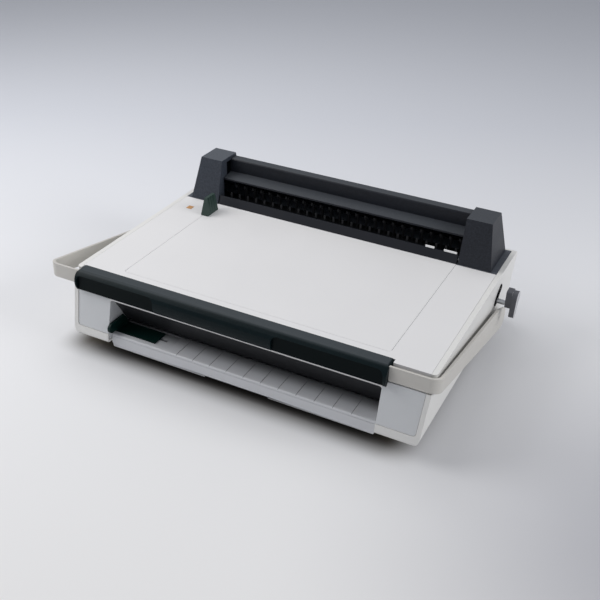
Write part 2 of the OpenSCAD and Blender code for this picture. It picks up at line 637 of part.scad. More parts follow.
// Moulded lever: block over the rod and a paddle hanging forward.
module opener_paddle() color([0.34, 0.34, 0.36]) difference() {
  union() {
    along_x(lever_x - 15.3, lever_x - 7) soft_rect(rod_y - 8, rod_y + 8, rod_z - 4, rod_z + 22, 3);
    along_x(lever_x - 7, lever_x) hull() {
      translate([rod_y, rod_z + 13]) circle(9, $fn = 40);
      translate([rod_y - 7, rod_z - 9.5]) circle(6, $fn = 40);
    }
  }
  rod_x(lever_x - 30, lever_x - 8, rod_y, rod_z, rod_r, 32);
}

// ---------------------------------------------------------------- edge guide and chip tray

// Green edge guide: flat foot in the table's bay, fin with a rounded front, clip below.
module edge_guide() color(green) {
  slab(-throat_half + 4.4, -throat_half + 64.6, -5.8, 20, table_z - 0.9, table_z + 0.8);
  along_x(-throat_half + 0.4, -throat_half + 4.4) union() {
    polygon([[-5.8, table_z - 0.9], [20, table_z - 0.9], [20, table_z + 3.5],
      [20 - (fin_h - 3.5) * 0.62, table_z + fin_h], [-5.8, table_z + fin_h]]);
    capsule([-15, table_z + fin_h - 7], [-2, table_z + fin_h - 7], 7);
  }
  slab(-throat_half + 14.6, -throat_half + 50.6, 7, 9, table_z - table_t - 0.6, table_z - 0.9);
  slab(-throat_half + 14.6, -throat_half + 50.6, 5, 11, table_z - table_t - 1.9, table_z - table_t - slide_gap);
}

// Drawer front with a bead along its lip, a shallow finger notch and two cut corners.
module drawer_front() color(panel_grey) difference() {
  along_x(-throat_half + 0.4, throat_half - 0.4) polygon([[table_y, table_z - 3.85],
    [table_y - 0.5, lip_z + 3.4], [table_y - 1.2, lip_z + 2.8], [table_y - 1.2, lip_z + 1],
    [table_y - 0.4, lip_z], [table_y + 0.6, lip_z], [table_y + 2.6, table_z - 4.5]]);
  along_y(-40, 20) polygon([[-48, 0], [-46, lip_z + 2.6], [46, lip_z + 2.6], [58, 0]]);
  pair() along_y(-40, 20) polygon([[throat_half - 4, lip_z - 1], [throat_half - 4, lip_z],
    [throat_half - 0.3, lip_z + 7], [throat_half + 2, lip_z + 7], [throat_half + 2, lip_z - 1]]);
}

module chip_tray() color(dark) difference() {
  slab(-throat_half + 7.6, throat_half - 7.6, table_y + 2.6, tray_len, tray_z, tray_top);
  slab(-throat_half + 9.6, throat_half - 9.6, table_y + 4.6, tray_len - 2, tray_z + 2, tray_top + 1);
}

// ---------------------------------------------------------------- build

translate([-mid[0], -mid[1], 0]) {
  casing();
  left_cheek();
  right_cheek();
  top_cover();
  work_panel();
  gauge_tabs();
  amber_insert();
  edge_stop();
  comb_deck();
  left_tower();
  right_tower();
  rear_beam();
  finger_plate();
  lead_in();
  paper_table();
  die_plate();
  stripper_plate();
  left_frame();
  right_frame();
  cam_guides();
  shaft_bushes();
  opener_bushes();
  base_pan();
  feet();
  rear_cover();
  screws();
  handle_stops();
  handle_bar();
  handle_grip();
  handle_shaft();
  drive_cranks();
  left_cam_bar();
  right_cam_bar();
  cam_tie();
  punch_bar();
  punch_pins();
  opener_shaft();
  opener_arms();
  opener_crank();
  opener_paddle();
  hook_carriage();
  edge_guide();
  drawer_front();
  chip_tray();
}
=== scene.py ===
import math

import bmesh
import bpy
from mathutils import Matrix, Vector


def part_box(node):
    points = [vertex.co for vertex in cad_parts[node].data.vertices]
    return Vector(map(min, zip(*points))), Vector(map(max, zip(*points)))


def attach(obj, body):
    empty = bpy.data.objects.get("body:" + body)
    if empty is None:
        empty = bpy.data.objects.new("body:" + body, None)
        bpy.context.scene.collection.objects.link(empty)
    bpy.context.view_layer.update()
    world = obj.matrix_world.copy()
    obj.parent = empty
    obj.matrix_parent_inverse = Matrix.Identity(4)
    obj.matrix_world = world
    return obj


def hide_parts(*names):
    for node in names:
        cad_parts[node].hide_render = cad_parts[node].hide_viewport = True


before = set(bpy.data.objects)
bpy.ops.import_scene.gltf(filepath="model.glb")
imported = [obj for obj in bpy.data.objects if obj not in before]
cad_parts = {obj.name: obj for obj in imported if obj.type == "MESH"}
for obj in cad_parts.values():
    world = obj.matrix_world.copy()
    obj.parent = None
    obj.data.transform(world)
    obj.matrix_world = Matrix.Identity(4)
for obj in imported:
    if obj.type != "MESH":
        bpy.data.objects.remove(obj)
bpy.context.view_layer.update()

# ---------------------------------------------------------------- studio
# A pale seamless sheet under the machine, with painted shade greying it towards the back and by
# the right corner and a painted contact shadow under the machine and a little past its outline,
# with broad soft lamps above, to the left and to the right, and none at the front.


def linear(red, green, blue):
    """A colour as a painter reads it, 0 to 255, turned into the light it sends back."""
    return tuple(((v / 255 + 0.055) / 1.055) ** 2.4 if v > 10 else v / 255 / 12.92
                 for v in (red, green, blue)) + (1.0,)


def node_at(tree, kind, x, y, feeds=(), **settings):
    """One node of a tree. Each feed is a plain value or the output of another node."""
    made = tree.nodes.new(kind)
    made.location = (x, y)
    for key, value in settings.items():
        setattr(made, key, value)
    for socket, feed in dict(feeds).items():
        if isinstance(feed, bpy.types.NodeSocket):
            tree.links.new(feed, made.inputs[socket])
        else:
            made.inputs[socket].default_value = feed
    return made


def reckoned(tree, x, y, operation, *feeds):
    """The result of one sum on up to three numbers."""
    return node_at(tree, "ShaderNodeMath", x, y, enumerate(feeds), operation=operation).outputs[0]


def eased(tree, x, y, value, start, end, most=1.0):
    """A mask that rises softly from 0 at the start to its most at the end."""
    ramp = node_at(tree, "ShaderNodeMapRange", x, y, {"Value": value, "From Min": start, "From Max": end,
                                                      "To Max": most}, interpolation_type="SMOOTHSTEP")
    return ramp.outputs["Result"]


def blended(tree, x, y, amount, first, second, way="MIX"):
    """Two colours laid over each other by an amount."""
    amount_socket, first_socket, second_socket, result = 0, 6, 7, 2
    mix = node_at(tree, "ShaderNodeMix", x, y, data_type="RGBA", blend_type=way,
                  feeds={amount_socket: amount, first_socket: first, second_socket: second})
    return mix.outputs[result]


sheet_mesh = bpy.data.meshes.new("paper_sweep")
sheet_mesh.from_pydata([(-7, -5, 0), (7, -5, 0), (7, 9, 0), (-7, 9, 0)], [], [(0, 1, 2, 3)])
sweep = bpy.data.objects.new("paper_sweep", sheet_mesh)
bpy.context.scene.collection.objects.link(sweep)
sweep_paper = bpy.data.materials.new("sweep_paper")
sweep_paper.use_nodes = True
sheet_tree = sweep_paper.node_tree
shader = sheet_tree.nodes["Principled BSDF"]
shader.inputs["Roughness"].default_value = 0.9
shader.inputs["Specular IOR Level"].default_value = 0.1
where = node_at(sheet_tree, "ShaderNodeTexCoord", -1100, 0).outputs["Object"]
# painted shade: the sheet greys slowly towards the back, as the light falls off there
depth = node_at(sheet_tree, "ShaderNodeMapping", -900, 200, {
    "Vector": where, "Location": (0.4, 0, 0), "Rotation": (0, 0, math.radians(-116)),
    "Scale": (0.7, 0.7, 0.7)})
painted_falloff = node_at(sheet_tree, "ShaderNodeTexGradient", -700, 200, {"Vector": depth.outputs["Vector"]},
                 gradient_type="LINEAR")
tone = node_at(sheet_tree, "ShaderNodeValToRGB", -500, 200, {"Fac": painted_falloff.outputs["Fac"]})
tone.color_ramp.elements[0].color = linear(235, 234, 233)
tone.color_ramp.elements[1].color = linear(216, 218, 224)
# painted shade: a round darker patch by the right front corner, where the machine's soft shadow falls
corner = node_at(sheet_tree, "ShaderNodeMapping", -900, -200, {
    "Vector": where, "Location": (-1.2, 0.4, 0), "Scale": (2, 2, 2)})
spread = node_at(sheet_tree, "ShaderNodeTexGradient", -700, -200, {"Vector": corner.outputs["Vector"]},
                 gradient_type="SPHERICAL")
painted_corner_shade = node_at(sheet_tree, "ShaderNodeValToRGB", -500, -200, {"Fac": spread.outputs["Fac"]})
painted_corner_shade.color_ramp.interpolation = "EASE"
painted_corner_shade.color_ramp.elements[0].color = (1, 1, 1, 1)
painted_corner_shade.color_ramp.elements[1].color = linear(190, 191, 197)
# and the dark of the contact shadow, painted a little past the machine's outline
place = node_at(sheet_tree, "ShaderNodeSeparateXYZ", -900, -500, {"Vector": where}).outputs
fade = 0.05
under = []
for row, (axis, centre, reach) in enumerate((("X", -0.012, 0.270), ("Y", -0.0055, 0.2015))):
    height = -500 - 200 * row
    offset = reckoned(sheet_tree, -700, height, "SUBTRACT", place[axis], centre)
    apart = reckoned(sheet_tree, -550, height, "ABSOLUTE", offset)
    under.append(eased(sheet_tree, -400, height, apart, reach, reach - fade))
shadow_core = reckoned(sheet_tree, -250, -500, "MULTIPLY", *under)
shaded = blended(sheet_tree, -200, 0, 1.0, tone.outputs["Color"], painted_corner_shade.outputs["Color"], way="MULTIPLY")
dimmed = blended(sheet_tree, 0, 0, shadow_core, shaded, linear(76, 71, 64))
sheet_tree.links.new(dimmed, shader.inputs["Base Color"])
sheet_mesh.materials.append(sweep_paper)

scene = bpy.context.scene
scene.view_settings.view_transform = "Standard"
walls = bpy.data.worlds.new("studio_walls")
scene.world = walls
walls.use_nodes = True
wall_light = walls.node_tree.nodes["Background"]
wall_light.inputs["Color"].default_value = linear(222, 225, 232)
wall_light.inputs["Strength"].default_value = 0.45


def soft_lamp(name, place, power, colour):
    """A round soft lamp, aimed at the middle of the machine."""
    lamp = bpy.data.lights.new(name, "AREA")
    lamp.shape = "DISK"
    lamp.size = 1.2
    lamp.energy = power
    lamp.color = colour
    holder = bpy.data.objects.new(name, lamp)
    holder.location = place
    machine_middle = Vector((0, 0, 0.05))
    holder.rotation_euler = (machine_middle - Vector(place)).to_track_quat("-Z", "Y").to_euler()
    scene.collection.objects.link(holder)


warm_light, cool_light = (1.0, 0.995, 0.99), (0.985, 0.99, 1.0)
soft_lamp("top_softbox", (-0.6, 0.45, 1.5), 6.5, warm_light)
soft_lamp("left_softbox", (-1.3, -0.5, 1.2), 15, warm_light)
soft_lamp("right_softbox", (2.0, 0.1, 1.1), 20, cool_light)

eye = bpy.data.cameras.new("studio_camera")
eye.lens = 53.1
eye.sensor_width = 36
eye.clip_start = 0.05
eye.clip_end = 50
viewer = bpy.data.objects.new("studio_camera", eye)
right = Vector((0.8916, 0.4533, 0.0282))
up = Vector((-0.2582, 0.4559, 0.8515))
back = Vector((0.3720, -0.7659, 0.5235))
turned = Matrix((right, up, back)).transposed().to_4x4()
viewer.matrix_world = Matrix.Translation((0.4717, -0.95435, 0.7038)) @ turned
scene.collection.objects.link(viewer)
scene.camera = viewer

# ---------------------------------------------------------------- casing
# One injection-moulded shell in warm white ABS. It carries the covers, closes the belly
# over the pan and frames the two cheeks with its raised rims.


def group_of(name, kind, inputs, outputs):
    """An empty node group with its named inputs and outputs."""
    group = bpy.data.node_groups.new(name, kind)
    for way, sockets in (("INPUT", inputs), ("OUTPUT", outputs)):
        for label, value in sockets.items():
            group.interface.new_socket(label, in_out=way, socket_type="NodeSocket" + value)
    return group


moulded_skin = group_of("moulded_skin", "ShaderNodeTree",
                        {"Colour": "Color", "Cloud": "Float", "Grain": "Float", "Speckle": "Float",
                         "Roughness": "Float", "Polish": "Float"},
                        {"Colour": "Color", "Roughness": "Float", "Height": "Float"})
cloud_scale, gloss_swing, noise_middle = 9, 0.35, 0.5
upward_from, upward_to = 0.8, 1.0
dust_and_sheen_grey = linear(150, 156, 162)
given = node_at(moulded_skin, "NodeGroupInput", -900, 0).outputs
place = node_at(moulded_skin, "ShaderNodeTexCoord", -900, -300).outputs
cloud = node_at(moulded_skin, "ShaderNodeTexNoise", -650, 200,
                {"Vector": place["Object"], "Scale": cloud_scale, "Detail": 3}).outputs["Fac"]
pores = node_at(moulded_skin, "ShaderNodeTexNoise", -650, -300,
                {"Vector": place["Object"], "Scale": given["Grain"], "Detail": 2}).outputs["Fac"]
swing = reckoned(moulded_skin, -450, 200, "SUBTRACT", cloud, noise_middle)
speck = reckoned(moulded_skin, -450, -300, "SUBTRACT", pores, noise_middle)
mottle = reckoned(moulded_skin, -450, 0, "MULTIPLY_ADD", speck, given["Speckle"], swing)
strength = reckoned(moulded_skin, -250, 150, "MULTIPLY_ADD", mottle, given["Cloud"], 1.0)
tinted = node_at(moulded_skin, "ShaderNodeVectorMath", -50, 150,
                 {0: given["Colour"], "Scale": strength}, operation="SCALE").outputs["Vector"]
rough = reckoned(moulded_skin, -50, -50, "MULTIPLY_ADD", swing, gloss_swing, given["Roughness"])
# upward faces pale towards grey: dust from handling, and a painted highlight from the lamps above
lift = node_at(moulded_skin, "ShaderNodeSeparateXYZ", -700, 500, {"Vector": place["Normal"]})
upward = eased(moulded_skin, -500, 500, lift.outputs["Z"], upward_from, upward_to)
dust_and_sheen_mask = reckoned(moulded_skin, -300, 500, "MULTIPLY", upward, given["Polish"])
paled = blended(moulded_skin, 150, 300, dust_and_sheen_mask, tinted, dust_and_sheen_grey)
node_at(moulded_skin, "NodeGroupOutput", 400, 0, {"Colour": paled, "Roughness": rough, "Height": pores})


def skinned(name, group, relief, **values):
    """A material that takes its colour, roughness and bump from one of the skin groups."""
    material = bpy.data.materials.new(name)
    material.use_nodes = True
    tree = material.node_tree
    skin = node_at(tree, "ShaderNodeGroup", -400, 100, values, node_tree=group).outputs
    bump = node_at(tree, "ShaderNodeBump", -200, -150,
                   {"Strength": 1.0, "Distance": relief, "Height": skin["Height"]})
    shader = tree.nodes["Principled BSDF"]
    tree.links.new(skin["Colour"], shader.inputs["Base Color"])
    tree.links.new(skin["Roughness"], shader.inputs["Roughness"])
    tree.links.new(bump.outputs["Normal"], shader.inputs["Normal"])
    return material


def moulding(name, colour, roughness, cloud=0.06, grain=700, speckle=0.5, relief=0.00006, gloss=0.5,
             dust_and_sheen=0.0):
    """Moulded plastic or paint: cloudy colour, uneven gloss and a fine pebbled skin, with upward faces
    paled by dust and a painted highlight.
    """
    material = skinned(name, moulded_skin, relief, Colour=colour, Cloud=cloud, Grain=grain,
                       Speckle=speckle, Roughness=roughness, Polish=dust_and_sheen)
    material.node_tree.nodes["Principled BSDF"].inputs["Specular IOR Level"].default_value = gloss
    return material


def settled(piece):
    """The piece's modifiers made final, as a plain mesh at the origin."""
    mesh = bpy.data.meshes.new_from_object(piece.evaluated_get(bpy.context.evaluated_depsgraph_get()))
    piece.modifiers.clear()
    piece.data = mesh


def softened(node, name, body, material, edge=0.0008, steps=2):
    """A node with its sharp edges rounded off, as the mould or the press leaves them."""
    same_point, same_plane, sharp_edge = 2e-6, math.radians(0.4), math.radians(28)
    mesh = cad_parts[node].data.copy()
    shape = bmesh.new()
    shape.from_mesh(mesh)
    bmesh.ops.remove_doubles(shape, verts=shape.verts, dist=same_point)
    bmesh.ops.dissolve_limit(shape, angle_limit=same_plane, verts=shape.verts, edges=shape.edges)
    for face in shape.faces:
        face.smooth = True
    shape.to_mesh(mesh)
    shape.free()
    mesh.materials.clear()
    mesh.materials.append(material)
    piece = bpy.data.objects.new(name, mesh)
    scene.collection.objects.link(piece)
    rounding = piece.modifiers.new("rounding", "BEVEL")
    rounding.width = edge
    rounding.segments = steps
    rounding.limit_method = "ANGLE"
    rounding.angle_limit = sharp_edge
    rounding.use_clamp_overlap = True
    flats = piece.modifiers.new("flats", "WEIGHTED_NORMAL")
    flats.keep_sharp = True
    settled(piece)
    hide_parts(node)
    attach(piece, body)
    return piece


warm_white = moulding("warm_white_abs", linear(222, 221, 218), 0.42, cloud=0.025, grain=900, relief=0.00003)
softened("casing", "casing_shell", "machine", warm_white, edge=0.0012)

# ---------------------------------------------------------------- cheeks
# Two grey ABS inserts beside the throat, clipped in from behind, each with a side wall
# that guides the stack.

cheek_grey = moulding("cheek_grey_abs", linear(205, 207, 209), 0.5, cloud=0.03, grain=900, relief=0.00003)
for side in ("left", "right"):
    softened(side + "_cheek", side + "_cheek_insert", "machine", cheek_grey, edge=0.0005)

# ---------------------------------------------------------------- work surface
# The top cover and its centre panel: one warm white moulding with a thin seam, notched at
# the front for the grip. The panel turns up at the back into a stop for the sheets, whose
# faces above the cover are coloured near-black as painted shade.


def second_finish(piece, material, belongs):
    """A second material on the faces that belong to it, told by their centre and normal."""
    piece.data.materials.append(material)
    for face in piece.data.polygons:
        if belongs(face.center, face.normal):
            face.material_index = len(piece.data.materials) - 1


top_white = moulding("top_cover_abs", linear(223, 222, 222), 0.42, cloud=0.02, grain=900, relief=0.00003)
softened("top_cover", "top_cover_moulding", "machine", top_white, edge=0.0006)
panel = softened("work_panel", "work_panel_moulding", "machine", top_white, edge=0.0005)
# painted shade: the stop's faces above the cover are coloured near-black
stop_shade_paint = moulding("stop_face_painted_shade", linear(30, 32, 38), 0.42, cloud=0.2, grain=900, relief=0.00005,
                     gloss=0.3)
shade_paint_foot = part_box("top_cover")[1][2] + 0.0004
second_finish(panel, stop_shade_paint, lambda centre, normal: centre[2] > shade_paint_foot)

# ---------------------------------------------------------------- marks and small stops
# White gauge tabs behind the back stop, an amber inlay by the left edge and the tapered
# green stop for the sheets' edge, all pushed into sockets in the cover.

tab_white = moulding("gauge_tab_white", linear(244, 244, 244), 0.5, cloud=0.01)
softened("gauge_tabs", "gauge_tabs_white", "machine", tab_white, edge=0.0002)
amber = moulding("amber_inlay", linear(196, 146, 92), 0.35, cloud=0.12, grain=1500)
softened("amber_insert", "amber_inlay_plate", "machine", amber, edge=0.0001)
stop_green = moulding("stop_green", linear(38, 58, 52), 0.45, cloud=0.15, grain=900)
softened("edge_stop", "edge_stop_fin", "machine", stop_green, edge=0.0005)

# ---------------------------------------------------------------- comb deck and towers
# Charcoal ABS with a coarse spark-eroded texture: the deck behind the work surface and the
# two hollow towers that stand on it, open on their inner sides. The right one is given a
# darker copy of the charcoal as painted shade.

charcoal = moulding("charcoal_abs", linear(52, 57, 66), 0.5, cloud=0.4, grain=420, speckle=3,
                    relief=0.00016, gloss=0.35, dust_and_sheen=0.14)
softened("comb_deck", "comb_deck_plate", "machine", charcoal, edge=0.0004)
softened("left_tower", "left_tower_shell", "machine", charcoal, edge=0.0010)
# painted shade: a darker copy of the charcoal for the right tower
right_tower_charcoal_shade = moulding("charcoal_abs_right_painted_shade", linear(35, 38, 45), 0.5, cloud=0.4, grain=420, speckle=3,
                         relief=0.00016, gloss=0.3, dust_and_sheen=0.11)
softened("right_tower", "right_tower_shell", "machine", right_tower_charcoal_shade, edge=0.0010)

# ---------------------------------------------------------------- rear hood
# Black ABS hood moulded with a flat brow over the hooks. It spans the gap between the
# towers and butts against them at both ends.

hood_black = moulding("hood_black", linear(24, 27, 34), 0.45, cloud=0.4, grain=420, speckle=3,
                      relief=0.00012, gloss=0.25, dust_and_sheen=0.13)
softened("rear_beam", "rear_hood", "machine", hood_black, edge=0.0008)

# ---------------------------------------------------------------- comb fingers and hooks
# The fixed fingers and the moving hooks that pull a plastic comb open, pressed from steel,
# one of each for every punched hole. Their near-black colour is painted shade for the shade
# under the hood.

brushed_skin = group_of("brushed_steel_skin", "ShaderNodeTree",
                        {"Colour": "Color", "Stretch": "Vector", "Roughness": "Float"},
                        {"Colour": "Color", "Roughness": "Float", "Height": "Float"})
line_strength, line_floor, line_gloss = 0.35, 0.82, 0.22
given = node_at(brushed_skin, "NodeGroupInput", -900, 0).outputs
place = node_at(brushed_skin, "ShaderNodeTexCoord", -900, -250).outputs
drawn = node_at(brushed_skin, "ShaderNodeVectorMath", -700, -150,
                {0: place["Object"], 1: given["Stretch"]}, operation="MULTIPLY").outputs["Vector"]
lines = node_at(brushed_skin, "ShaderNodeTexNoise", -500, -150,
                {"Vector": drawn, "Scale": 1.0, "Detail": 3}).outputs["Fac"]
shade = reckoned(brushed_skin, -300, 100, "MULTIPLY_ADD", lines, line_strength, line_floor)
tinted = node_at(brushed_skin, "ShaderNodeVectorMath", -100, 150,
                 {0: given["Colour"], "Scale": shade}, operation="SCALE").outputs["Vector"]
rough = reckoned(brushed_skin, -100, -50, "MULTIPLY_ADD", lines, line_gloss, given["Roughness"])
node_at(brushed_skin, "NodeGroupOutput", 150, 0, {"Colour": tinted, "Roughness": rough, "Height": lines})


def steel(name, colour, roughness, stretch=(8, 900, 900), metal=1.0):
    """Drawn or pressed steel with fine lines along one axis."""
    line_depth = 0.00002
    material = skinned(name, brushed_skin, line_depth, Colour=colour, Stretch=stretch, Roughness=roughness)
    material.node_tree.nodes["Principled BSDF"].inputs["Metallic"].default_value = metal
    return material


def made_real(tree, x, geometry, material):
    """The end of a geometry tree: its copies made real, its finish set, and the way out."""
    real = node_at(tree, "GeometryNodeRealizeInstances", x, 0, {"Geometry": geometry})
    painted = node_at(tree, "GeometryNodeSetMaterial", x + 200, 0,
                      {"Geometry": real.outputs["Geometry"], "Material": material})
    node_at(tree, "NodeGroupOutput", x + 400, 0, {"Geometry": painted.outputs["Geometry"]})


def grown(piece, tree, **sizes):
    """A node tree put on the piece with its inputs set, then made a plain mesh."""
    growth = piece.modifiers.new(tree.name, "NODES")
    growth.node_group = tree
    for socket in tree.interface.items_tree:
        if socket.item_type == "SOCKET" and socket.in_out == "INPUT" and socket.name in sizes:
            growth[socket.identifier] = sizes[socket.name]
    settled(piece)


def stamping(name, outline, front, rear, edge):
    """A plate cut to an outline across and up, from its front face to its rear, edges broken."""
    shape = bmesh.new()
    rings = [[shape.verts.new((x, y, z)) for x, z in outline] for y in (front, rear)]
    shape.faces.new(rings[0])
    shape.faces.new(rings[1][::-1])
    for i in range(len(outline)):
        j = (i + 1) % len(outline)
        shape.faces.new((rings[0][j], rings[0][i], rings[1][i], rings[1][j]))
    bmesh.ops.recalc_face_normals(shape, faces=shape.faces)
    bmesh.ops.bevel(shape, geom=shape.edges, offset=edge, segments=1, affect="EDGES")
    mesh = bpy.data.meshes.new(name)
    shape.to_mesh(mesh)
    shape.free()
    piece = bpy.data.objects.new(name, mesh)
    scene.collection.objects.link(piece)
    return piece


pitch_row = group_of("pitch_row", "GeometryNodeTree",
                     {"Geometry": "Geometry", "Count": "Int", "Start": "Vector", "Step": "Vector",
                      "Material": "Material"}, {"Geometry": "Geometry"})
entry = node_at(pitch_row, "NodeGroupInput", -600, 0).outputs
line = node_at(pitch_row, "GeometryNodeMeshLine", -400, 100,
               {"Count": entry["Count"], "Start Location": entry["Start"], "Offset": entry["Step"]},
               mode="OFFSET")
copies = node_at(pitch_row, "GeometryNodeInstanceOnPoints", -200, 0,
                 {"Points": line.outputs["Mesh"], "Instance": entry["Geometry"]})
made_real(pitch_row, 0, copies.outputs["Instances"], entry["Material"])

# painted shade: the steel is coloured near-black for the shade under the hood
shaded_hook_steel = steel("hook_painted_shade_steel", linear(19, 20, 23), 0.40, stretch=(900, 900, 12), metal=0.6)
hole_pitch = 0.0142875
hole_count = 26
pin_low, pin_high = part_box("punch_pins")
first_hole = (pin_low[0] + pin_high[0] - (hole_count - 1) * hole_pitch) / 2
plate_low, plate_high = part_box("finger_plate")
strip_top = plate_low[2] + 0.0012
root = strip_top - 0.0004              # the fingers stand a little way in the strip
shoulder, tip = plate_high[2] - 0.0011, plate_high[2]
finger_half, tip_half = 0.0016, 0.0009
finger_front, finger_rear = plate_low[1] + 0.0002, plate_low[1] + 0.0018
fingers = stamping("comb_fingers", [(-finger_half, root), (finger_half, root), (finger_half, shoulder),
                                    (tip_half, tip), (-tip_half, tip), (-finger_half, shoulder)],
                   finger_front, finger_rear, edge=0.00025)
grown(fingers, pitch_row, Count=hole_count, Start=(first_hole, 0, 0), Step=(hole_pitch, 0, 0),
      Material=shaded_hook_steel)
strip = stamping("finger_strip", [(plate_low[0], plate_low[2]), (plate_high[0], plate_low[2]),
                                  (plate_high[0], strip_top), (plate_low[0], strip_top)],
                 plate_low[1], plate_high[1], edge=0.0003)
joined = bmesh.new()
joined.from_mesh(fingers.data)
joined.from_mesh(strip.data)
joined.to_mesh(fingers.data)
joined.free()
bpy.data.objects.remove(strip)
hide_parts("finger_plate")
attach(fingers, "machine")
softened("hook_carriage", "comb_hooks", "hooks", shaded_hook_steel, edge=0.0003)

# ---------------------------------------------------------------- throat
# The sheets slide under a sloping dark plate onto a grey painted steel table, ruled every
# 25 mm, and into the gap between the ground die and the stripper plate.

lead_dark = moulding("lead_in_charcoal", linear(30, 31, 34), 0.42, cloud=0.15, grain=900, gloss=0.25)
softened("lead_in", "lead_in_plate", "machine", lead_dark, edge=0.0004)
table_low, table_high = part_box("paper_table")
table_paint = moulding("table_grey_paint", linear(206, 207, 210), 0.42, cloud=0.02, grain=1400,
                       relief=0.00002)
# painted shade: the table's colour darkens towards the die, for the shade deep in the throat
table_tree = table_paint.node_tree
table_colour = table_tree.nodes["Principled BSDF"].inputs["Base Color"]
where = node_at(table_tree, "ShaderNodeTexCoord", -800, 400).outputs["Object"]
inward = node_at(table_tree, "ShaderNodeSeparateXYZ", -600, 400, {"Vector": where}).outputs["Y"]
painted_throat_shade = eased(table_tree, -400, 400, inward, table_low[1] + 0.012, table_high[1], most=0.8)
throat_shaded_table_colour = blended(table_tree, -150, 300, painted_throat_shade, table_colour.links[0].from_socket, linear(52, 52, 54))
table_tree.links.new(throat_shaded_table_colour, table_colour)
softened("paper_table", "paper_table_plate", "machine", table_paint, edge=0.0003)

ruled_line = group_of("ruled_line", "GeometryNodeTree",
                      {"Geometry": "Geometry", "Radius": "Float", "Material": "Material"},
                      {"Geometry": "Geometry"})
entry = node_at(ruled_line, "NodeGroupInput", -600, 0).outputs
path = node_at(ruled_line, "GeometryNodeMeshToCurve", -400, 0, {"Mesh": entry["Geometry"]})
stroke = node_at(ruled_line, "GeometryNodeCurvePrimitiveCircle", -400, -200,
                 {"Resolution": 6, "Radius": entry["Radius"]})
ribbon = node_at(ruled_line, "GeometryNodeCurveToMesh", -200, 0,
                 {"Curve": path.outputs["Curve"], "Profile Curve": stroke.outputs["Curve"],
                  "Fill Caps": True})
made_real(ruled_line, 0, ribbon.outputs["Mesh"], entry["Material"])


def path_object(name, points, edges=()):
    """A piece that is only points so far, with or without edges, for a node tree to grow on."""
    mesh = bpy.data.meshes.new(name)
    mesh.from_pydata(points, edges, [])
    piece = bpy.data.objects.new(name, mesh)
    scene.collection.objects.link(piece)
    return piece


# each rule runs up the table's rounded front edge and in to the die
rule_count, rule_pitch, first_rule = 11, 0.025, -0.083
rule_ink = moulding("ruling_ink", linear(112, 112, 115), 0.6, cloud=0.2)
front, top = table_low[1], table_high[2]
rules = path_object("table_rules", [(0, front + 0.0004, top - 0.0012), (0, front + 0.0013, top - 0.0003),
                                    (0, front + 0.0028, top), (0, table_high[1] - 0.001, top)],
                    [(0, 1), (1, 2), (2, 3)])
grown(rules, ruled_line, Radius=0.00030, Material=rule_ink)
grown(rules, pitch_row, Count=rule_count, Start=(first_rule, 0, 0), Step=(rule_pitch, 0, 0),
      Material=rule_ink)
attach(rules, "machine")

# ---------------------------------------------------------------- punch works
# Steel side frames, plates, cam bars, punch bar and shafts inside the casing, drawn or
# ground, with sintered bronze bushes and black acetal guides.

plate_steel = steel("frame_steel", linear(178, 180, 184), 0.32)
pin_steel = steel("punch_pin_steel", linear(196, 198, 202), 0.2, stretch=(900, 900, 12))
bronze = steel("bush_bronze", linear(176, 142, 88), 0.4, stretch=(200, 200, 200))
acetal = moulding("guide_black_acetal", linear(34, 35, 38), 0.4)
inside = (
    (plate_steel, ("die_plate", "stripper_plate", "left_frame", "right_frame", "drive_cranks",
                   "left_cam_bar", "right_cam_bar", "cam_tie", "punch_bar", "opener_shaft",
                   "opener_arms")),
    (pin_steel, ("opener_crank",)),
    (bronze, ("shaft_bushes", "opener_bushes")),
    (acetal, ("cam_guides",)))
for material, nodes in inside:
    for node in nodes:
        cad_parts[node].data.materials.clear()
        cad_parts[node].data.materials.append(material)

pin_half = 0.004
pin_hollow = pin_low[2] + 0.001        # the cutting end is notched, so that the corners bite first
pins = stamping("punch_pin_row", [(-pin_half, pin_low[2]), (0, pin_hollow), (pin_half, pin_low[2]),
                                  (pin_half, pin_high[2]), (-pin_half, pin_high[2])],
                pin_low[1], pin_high[1], edge=0.0001)
grown(pins, pitch_row, Count=hole_count, Start=(first_hole, 0, 0), Step=(hole_pitch, 0, 0),
      Material=pin_steel)
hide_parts("punch_pins")
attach(pins, "punch")

# ---------------------------------------------------------------- base
# Black vacuum-formed pan on four turned rubber feet, and the slotted rear cover, held by
# four cross-headed screws.

pan_black = moulding("pan_black_abs", linear(36, 37, 40), 0.5, cloud=0.08)
softened("base_pan", "base_pan_tray", "machine", pan_black, edge=0.0006)
foot_rubber = moulding("foot_rubber", linear(28, 28, 30), 0.8, cloud=0.1, gloss=0.3)
softened("feet", "rubber_feet", "machine", foot_rubber, edge=0.0004)
softened("rear_cover", "rear_cover_plate", "machine", warm_white, edge=0.0004)

